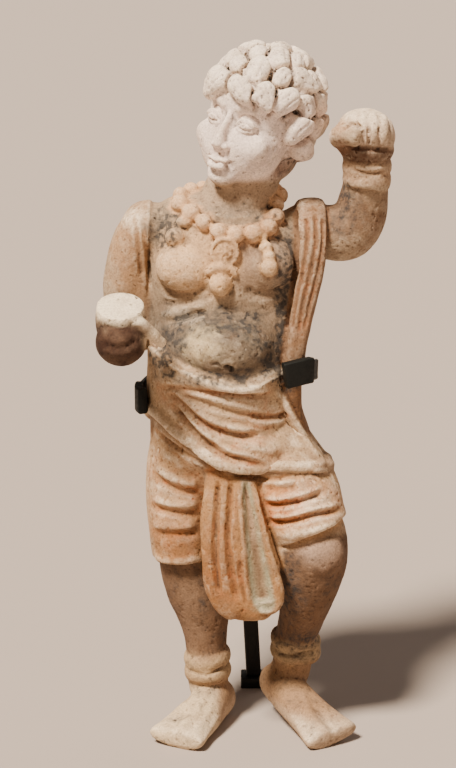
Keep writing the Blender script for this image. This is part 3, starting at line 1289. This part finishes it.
# The bare trunk: tan on the breast, and grey-brown on the belly with a pale rubbed patch
ANYWHERE = np.ones(count)
wash(step_up(z - 140, 10), "#A08A70")
washes(
    (ANYWHERE, (-14, -16, 190), (17, 14, 13), USUAL_EDGE, "#D2AC82", 0.95),
    (ANYWHERE, (12, -14, 190), (13, 12, 11), USUAL_EDGE, "#A88A70", 0.85),
    (ANYWHERE, (-1, -22, 159), (27, 16, 13), USUAL_EDGE, "#52483C", 0.94),
    (ANYWHERE, (14, -14, 176), (12, 13, 24), (0.7, 0.4), "#86725C", 0.6),
    (ANYWHERE, (-27, -12, 162), (6, 13, 14), SOFT_EDGE, "#554A3E", 0.85),
    (ANYWHERE, (-10, -26, 160), (6, 8, 6.4), (0.8, 0.8), "#CDB78E", 0.8),
    (ANYWHERE, (3, -26, 156), (7, 8, 4.4), (0.8, 0.8), "#9C8A72", 0.6),
    (ANYWHERE, (3, -4, 213), (17, 15, 8), USUAL_EDGE, "#A28C74", 0.85),
)

# The legs: dark brown, paler on the shin, the anklets and the feet
wash(on_legs, "#634935", 0.95)
wash(on_legs * step_up(y - 4, 6), "#84694F", 0.7)
wash(on_legs * blotch((-14, -12, 52), (6, 10, 24), (0.7, 0.4)), "#7E644E", 0.6)
wash(on_legs * step_up(33 - z, 8), "#987858", 0.85)
wash(on_legs * step_up(13 - z, 6), "#BCA488", 0.8)
wash(on_legs * step_up(19 - z, 6) * step_up(-2 - x, 4), "#DCC6A2", 0.7)
washes(
    (on_legs, (-8.4, 2, 23.4), (13, 14, 7), CRISP_EDGE, "#B09672", 0.85),
    (on_legs, (27.2, 1.6, 31.2), (13, 14, 7), CRISP_EDGE, "#B09672", 0.85),
    (on_legs, (35, -24, 80), (8, 9, 8), USUAL_EDGE, "#A08672", 0.8),
)

# The head, nearly white, the raised fist with its dark heel, and the arms
wash(on_head, "#F0DED2", 0.98)
wash(on_head * step_up(z - 246, 8) * step_up(proud + 0.3, 0.6), "#F0E2CE", 0.7)
washes(
    (on_head, (21, 6, 221), (13, 14, 8), USUAL_EDGE, "#8A6852", 0.8),
    (ANYWHERE, (52, -2, 238), (14, 14, 9), USUAL_EDGE, "#D6BEA6", 0.9),
    (ANYWHERE, (52, -8, 229.6), (12, 12, 4), USUAL_EDGE, "#4E3122", 0.92),
    (ANYWHERE, (43, -8, 234), (3.4, 10, 5), (0.5, 0.3), "#7A5A44", 0.8),
    (ANYWHERE, (42, -10, 240.4), (4, 9, 3), SOFT_EDGE, "#B08866", 0.7),
    (ANYWHERE, (50, 2, 206), (15, 14, 15), USUAL_EDGE, "#6A4C36", 0.85),
    (ANYWHERE, (52.6, -2, 222), (13, 13, 6.4), CRISP_EDGE, "#A5876A", 0.9),
    (step_up(-29 - x, 2), (-35, 2, 190), (10, 16, 26), USUAL_EDGE, "#A27C58", 0.85),
    (step_up(y + 22, 4), (-41, 0, 166), (10, 16, 9), SOFT_EDGE, "#6E6254", 0.7),
)

# The cloth, browner low on the thigh and in the apron, and the bare thigh beyond the wrap
thigh = beyond_wrap(points, 0.4)
wash(on_trousers, "#AC8964", 0.95)
washes(
    (on_trousers, (-19, -16, 79), (14, 12, 10), FADING_EDGE, "#85552C", 0.8),
    (on_trousers, (20, -20, 96), (12, 10, 8), FADING_EDGE, "#B8783C", 0.6),
)
wash(on_apron, "#966E46", 0.95)
wash(on_sash, "#7C5C42", 0.95)
wash(on_wrap, "#B39674", 0.95)
wash(thigh, "#7A5434", 0.9)
wash(on_apron * blotch((-4, -28, 70), (9, 8, 17), FADING_EDGE), "#7C4E28", 0.7)

# The beads and pendants, and the lowered hand, dark below its pale worn top
over_wear = points @ np.array(worn_way) - WORN_AT
below_wear = step_up(2 - 0.9 * np.maximum(over_wear + 2.6, 0), 1)
wash(on_beads, "#D6AC82", 0.9)
wash(on_beads * blotch((15, -14, 204), (11, 14, 8), (0.4, 0.2)), "#B88C64", 0.7)
for at_x, at_z, size in PENDANTS:
    wash(blotch((at_x, -22, at_z), (size[0] + 0.6, 9, size[2] + 0.6), CRISP_EDGE), "#D2AA7C", 0.8)
washes(
    (ANYWHERE, (-1.2, -22, 191), (8, 9, 8.6), CRISP_EDGE, "#CCA47A", 0.8),
    (below_wear, (-40, -41, 164), (14, 15, 12), USUAL_EDGE, "#2C150C", 0.97),
    (step_up(over_wear + 3, 1.6), (-40, -38, 177.4), (14, 16, 12), (0.1, 0), "#EADABC", 0.95),
    (step_up(-30 - y, 3), (-25.8, -41, 165.4), (5.6, 6, 4.6), USUAL_EDGE, "#E8D2B0", 0.95),
)

# The pale green lining in the apron's trough
LINING_WIDE = (1.0, 2.2, 3.6, 3.6)
lining = np.zeros(count)
picked, gap, along = near(points, lining_line, 6)
wide = np.interp(along, np.linspace(0, 1, len(LINING_WIDE)), LINING_WIDE)
lining[picked] = (1 - step_up(gap - wide, 1.2)) * step_up(along, 0.04)
wash(lining * on_apron, "#8E8A70", 0.95)

# The orange pigment: along the folds, in hollows of the cloth and in broad stains
pigment = np.zeros(count)
for line, width, strength in stained:
    picked, gap, along = near(points, line, 2 * width)
    share = step_up(1 - gap / (2 * width), 1.0) * strength
    pigment[picked] = np.maximum(pigment[picked], share)
cloth = np.clip(on_wrap + on_trousers + on_apron + on_sash, 0, 1)
pigment += 0.30 * wide_hollow * cloth + 0.22 * step_up(patchy - 0.1, 0.5) * cloth
pigment += patched(
    (0.6, on_trousers, (20, -22, 96), (11, 8, 7), USUAL_EDGE),
    (0.5, on_trousers, (16, -22, 88), (6, 8, 6), USUAL_EDGE),
    (0.25, on_trousers, (-19, -18, 77), (12, 8, 7), USUAL_EDGE),
    (0.3, on_trousers, (-14, -20, 98), (8, 8, 9), USUAL_EDGE),
    (0.4, on_wrap, (8, -22, 118), (14, 8, 5), USUAL_EDGE),
    (0.3, on_wrap, (14, -22, 130), (10, 8, 5), USUAL_EDGE),
)
uneven = 0.8 + 0.6 * patchy + 0.5 * fine
pigment *= 0.72 * (1 - 0.5 * proud) * (1 - lining) * np.clip(cloth + 0.2, 0, 1) * uneven
pigment *= 1 - 0.75 * on_beads

# The white slip: on what stands proud, and dusted over what faces up
facing_up = normals[:, 2]
dusted = 0.3 * step_up(patchy, 0.5) * step_up(facing_up + 0.2, 0.8)
slip = cloth * (0.35 * proud + 0.35 * wide_proud + dusted) * (1 - 0.6 * pigment)
slip *= (1 - 0.6 * on_sash) * (1 - 0.7 * on_apron * (1 - lining))
slip *= 1 - 0.7 * blotch((-19, -14, 82), (14, 16, 14), SOFT_EDGE)
slip += patched(
    (0.3, ANYWHERE, (-20, -18, 169), (9, 5, 2.4), (0.6, 0.6)),
    (0.35, ANYWHERE, (-36, -2, 204), (7, 9, 4), USUAL_EDGE),
)
slip += 0.6 * proud * on_head + 0.3 * proud * (1 - cloth) * (1 - on_head) * (1 - on_legs)
slip *= (1 - 0.9 * thigh) * (1 - blotch((-40, -40, 164), (13, 14, 9.4), (0.1, 0)))
slip += 0.4 * on_legs * step_up(12 - z, 8) * step_up(facing_up, 0.6)
slip += patched(
    (0.45, ANYWHERE, (52, -6, 244), (10, 12, 5), USUAL_EDGE),
    (0.5, ANYWHERE, (31, -28, 98), (10, 8, 5), (0.7, 0.5)),
)

# The soot: in all hollows of the bare clay, and in patches
off_sash = 1 - on_sash
soot = 0.5 * wide_hollow * (1 - cloth) + 0.2 * wide_hollow
soot += patched(
    (1.0, 1 - on_beads, (-24.5, -10, 201), (6.5, 10, 9), (0.5, 0.4)),
    (1.1, off_sash, (23, -14, 184), (6, 11, 23), (0.5, 0.25)),
    (1.0, off_sash, (21, -15, 152), (7, 11, 11), (0.5, 0.4)),
    (0.8, ANYWHERE, (1, -22, 167.6), (19, 10, 5), (0.7, 0.5)),
    (1.0, ANYWHERE, (-22, -18, 160), (7, 10, 9), SOFT_EDGE),
    (0.9, ANYWHERE, (-4, -24, 147), (22, 8, 2.6), (0.6, 0.3)),
    (0.5, ANYWHERE, (12, -22, 156), (9, 8, 9), (0.7, 0.5)),
    (0.6, ANYWHERE, (-28, -14, 150), (6, 10, 6), SOFT_EDGE),
    (0.5, ANYWHERE, (6, -10, 208), (12, 10, 4), SOFT_EDGE),
    (0.55, ANYWHERE, (44, -8, 207), (7, 8, 8), SOFT_EDGE),
    (0.5, ANYWHERE, (44, -6, 216), (3, 8, 6), SOFT_EDGE),
    (0.75, on_legs, (20, -16, 66), (9, 14, 17), SOFT_EDGE),
    (0.5, on_legs, (29, -6, 36), (11, 14, 9), SOFT_EDGE),
    (0.5, on_head, (24, 6, 228), (10, 12, 16), SOFT_EDGE),
)
soot += 0.35 * on_legs * step_up(patchy + 0.1, 0.6) + 0.3 * thigh
soot += 0.6 * on_head * hollow * step_up(z - 236, 8)
soot *= (0.7 + 0.9 * fine) * (1 - 0.9 * lining)
hollow *= 1 - 0.85 * lining

for name, values in (
    ("pigment", np.clip(pigment, 0, 1)),
    ("slip", np.clip(slip, 0, 1)),
    ("soot", np.clip(soot, 0, 1)),
    ("hollow", hollow),
):
    figure_mesh.attributes.new(name, "FLOAT", "POINT").data.foreach_set("value", values.astype(np.float32))
colours = np.hstack([ground, np.ones((count, 1))]).astype(np.float32)
figure_mesh.attributes.new("ground", "FLOAT_COLOR", "POINT").data.foreach_set("color", colours.ravel())

# Unglazed earthenware with worn cold paint: it has no shine, a sandy grain and small pits, and the
# paint keeps to the hollows and is rubbed off what stands proud.
fired_clay, tree, shader = new_material("unglazed_earthenware")
shader.inputs["IOR"].default_value = 1.5
shader.inputs["Specular IOR Level"].default_value = 0.25
where = add_node(tree, "ShaderNodeTexCoord").outputs["Object"]
# Stains of about 6 mm, sand of under 1 mm, pits about 2 mm apart and paint torn over about 2.5 mm
cloudy = add_node(tree, "ShaderNodeTexNoise", {"Vector": where, "Scale": 160.0, "Detail": 5.0})
sandy = add_node(tree, "ShaderNodeTexNoise", {"Vector": where, "Scale": 1300.0, "Detail": 3.0})
specks = add_node(tree, "ShaderNodeTexNoise", {"Vector": where, "Scale": 560.0, "Detail": 2.0})
worn = add_node(
    tree, "ShaderNodeTexNoise", {"Vector": where, "Scale": 420.0, "Detail": 5.0, "Roughness": 0.62}
)

# What lies on the bare clay, from the bottom up: its attribute, how ragged its edge is, from where to
# where it thickens, its most, its colour and how it mixes
LAYERS = (
    ("slip", 0.6, 0.05, 0.75, 0.85, "#EEDCC0", "MIX"),
    ("pigment", 0.5, 0.08, 1.05, 0.66, "#B0622E", "MIX"),
    ("soot", 0.7, 0.06, 0.85, 0.88, "#363535", "MIX"),
    ("hollow", 0.3, 0.10, 1.00, 0.70, "#54341F", "MULTIPLY"),
)
ground_colour = add_node(tree, "ShaderNodeAttribute", attribute_name="ground")
cloud = add_node(
    tree,
    "ShaderNodeMapRange",
    {"Value": cloudy.outputs["Fac"], "From Min": 0.40, "From Max": 0.7, "To Max": 0.35},
)
clouded = add_node(
    tree,
    "ShaderNodeMix",
    {"Factor": cloud.outputs["Result"], 6: ground_colour.outputs["Color"], 7: linear("#7E6450")},
    data_type="RGBA",
)
colour = clouded.outputs[2]
for name, ragged, start, full, most, tint, blend in LAYERS:
    amount = add_node(tree, "ShaderNodeAttribute", attribute_name=name)
    torn = add_node(
        tree,
        "ShaderNodeMapRange",
        {
            "Value": worn.outputs["Fac"],
            "From Min": 0.32,
            "From Max": 0.68,
            "To Min": 1 - ragged,
            "To Max": 1 + ragged,
        },
    )
    reach_out = add_node(
        tree,
        "ShaderNodeMath",
        {0: amount.outputs["Fac"], 1: torn.outputs["Result"]},
        operation="MULTIPLY",
    )
    cover = add_node(
        tree,
        "ShaderNodeMapRange",
        {"Value": reach_out.outputs[0], "From Min": start, "From Max": full, "To Max": most},
    )
    laid = add_node(
        tree,
        "ShaderNodeMix",
        {"Factor": cover.outputs["Result"], 6: colour, 7: linear(tint)},
        data_type="RGBA",
        blend_type=blend,
    )
    colour = laid.outputs[2]
speck = add_node(
    tree,
    "ShaderNodeMapRange",
    {"Value": specks.outputs["Fac"], "From Min": 0.65, "From Max": 0.72, "To Max": 0.5},
)
specked = add_node(
    tree,
    "ShaderNodeMix",
    {"Factor": speck.outputs["Result"], 6: colour, 7: linear("#4A3A2E")},
    data_type="RGBA",
)
grain = add_node(
    tree,
    "ShaderNodeMapRange",
    {"Value": sandy.outputs["Fac"], "From Min": 0.3, "From Max": 0.7, "To Min": 0.78, "To Max": 1.2},
)
grained = add_node(
    tree, "ShaderNodeVectorMath", {0: specked.outputs[2], 1: grain.outputs["Result"]}, operation="MULTIPLY"
)
tree.links.new(grained.outputs[0], shader.inputs["Base Color"])
rough = add_node(
    tree,
    "ShaderNodeMapRange",
    {"Value": sandy.outputs["Fac"], "From Min": 0.3, "From Max": 0.7, "To Min": 0.82, "To Max": 0.96},
)
tree.links.new(rough.outputs["Result"], shader.inputs["Roughness"])
# The bump is the sand's grain, less the small pits, plus what is left of the paint's crust
crust = add_node(tree, "ShaderNodeMath", {0: worn.outputs["Fac"], 1: 0.9}, operation="MULTIPLY")
sand = add_node(
    tree, "ShaderNodeMath", {0: sandy.outputs["Fac"], 1: 0.7, 2: crust.outputs[0]}, operation="MULTIPLY_ADD"
)
relief = add_node(
    tree,
    "ShaderNodeMath",
    {0: speck.outputs["Result"], 1: -1.0, 2: sand.outputs[0]},
    operation="MULTIPLY_ADD",
)
bump = add_node(tree, "ShaderNodeBump", {"Height": relief.outputs[0], "Strength": 0.7, "Distance": 0.0003})
tree.links.new(bump.outputs["Normal"], shader.inputs["Normal"])

figure_mesh.transform(Matrix.Translation(LINE) @ Matrix.Scale(MM, 4))
figure_mesh.materials.clear()
figure_mesh.materials.append(fired_clay)
figure_mesh.polygons.foreach_set("use_smooth", [True] * len(figure_mesh.polygons))
figurine = bpy.data.objects.new("fired_clay_dancer", figure_mesh)
bpy.context.scene.collection.objects.link(figurine)
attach(figurine, "root")
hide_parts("figurine")

# The mount: a square steel rod in a square foot behind the heels, and a flat bar bent round the hips.
# Mild steel, sawn, filed and brazed, then sprayed with matt black paint. Its corners are broken.
CORNER = 0.00022
SHARP = 0.4  # radians between faces from which a corner is broken

# Matt black spray paint on steel: nearly black, a soft sheen, and a faint spatter of about 1 mm
black_paint, tree, shader = new_material("matt_black_spray_paint")
shader.inputs["Base Color"].default_value = linear("#0F0E0D")
shader.inputs["IOR"].default_value = 1.5
shader.inputs["Specular IOR Level"].default_value = 0.3
where = add_node(tree, "ShaderNodeTexCoord").outputs["Object"]
spatter = add_node(tree, "ShaderNodeTexNoise", {"Vector": where, "Scale": 1000.0, "Detail": 2.0})
rough = add_node(
    tree,
    "ShaderNodeMapRange",
    {"Value": spatter.outputs["Fac"], "From Min": 0.3, "From Max": 0.7, "To Min": 0.45, "To Max": 0.62},
)
tree.links.new(rough.outputs["Result"], shader.inputs["Roughness"])
bump = add_node(
    tree, "ShaderNodeBump", {"Height": spatter.outputs["Fac"], "Strength": 0.25, "Distance": 0.0001}
)
tree.links.new(bump.outputs["Normal"], shader.inputs["Normal"])


def rounded(node, name, material):
    """Adds a copy of a CAD node, merged, with its corners broken, which then stands for it."""
    shape = bmesh.new()
    shape.from_mesh(bpy.data.objects[node].data)
    bmesh.ops.remove_doubles(shape, verts=shape.verts, dist=0.00001)
    bmesh.ops.recalc_face_normals(shape, faces=shape.faces)
    mesh = made_by(
        mesh_of(shape),
        "Broken corners",
        "BEVEL",
        width=CORNER,
        segments=3,
        limit_method="ANGLE",
        angle_limit=SHARP,
    )
    mesh.name = name
    mesh.materials.clear()
    mesh.materials.append(material)
    mesh.polygons.foreach_set("use_smooth", [True] * len(mesh.polygons))
    piece = bpy.data.objects.new(name, mesh)
    bpy.context.scene.collection.objects.link(piece)
    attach(piece, "root")
    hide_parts(node)


for node, name in (
    ("support_rod", "steel_rod"),
    ("support_foot", "steel_foot"),
    ("support_band", "steel_band"),
):
    rounded(node, name, black_paint)

# The sleeves: short lengths of black rubber tube pushed over the ends of the bar, so that no metal
# touches the clay.

# Extruded rubber: black with a hint of green, softly rough, with marks of the die of about 1.5 mm
black_rubber, tree, shader = new_material("extruded_black_rubber")
shader.inputs["Base Color"].default_value = linear("#0C0E0C")
shader.inputs["IOR"].default_value = 1.52
shader.inputs["Specular IOR Level"].default_value = 0.22
where = add_node(tree, "ShaderNodeTexCoord").outputs["Object"]
drag = add_node(tree, "ShaderNodeTexNoise", {"Vector": where, "Scale": 700.0, "Detail": 3.0})
rough = add_node(
    tree,
    "ShaderNodeMapRange",
    {"Value": drag.outputs["Fac"], "From Min": 0.3, "From Max": 0.7, "To Min": 0.5, "To Max": 0.75},
)
tree.links.new(rough.outputs["Result"], shader.inputs["Roughness"])
bump = add_node(tree, "ShaderNodeBump", {"Height": drag.outputs["Fac"], "Strength": 0.3, "Distance": 0.00015})
tree.links.new(bump.outputs["Normal"], shader.inputs["Normal"])
for node, name in (("left_sleeve", "left_rubber_sleeve"), ("right_sleeve", "right_rubber_sleeve")):
    rounded(node, name, black_rubber)
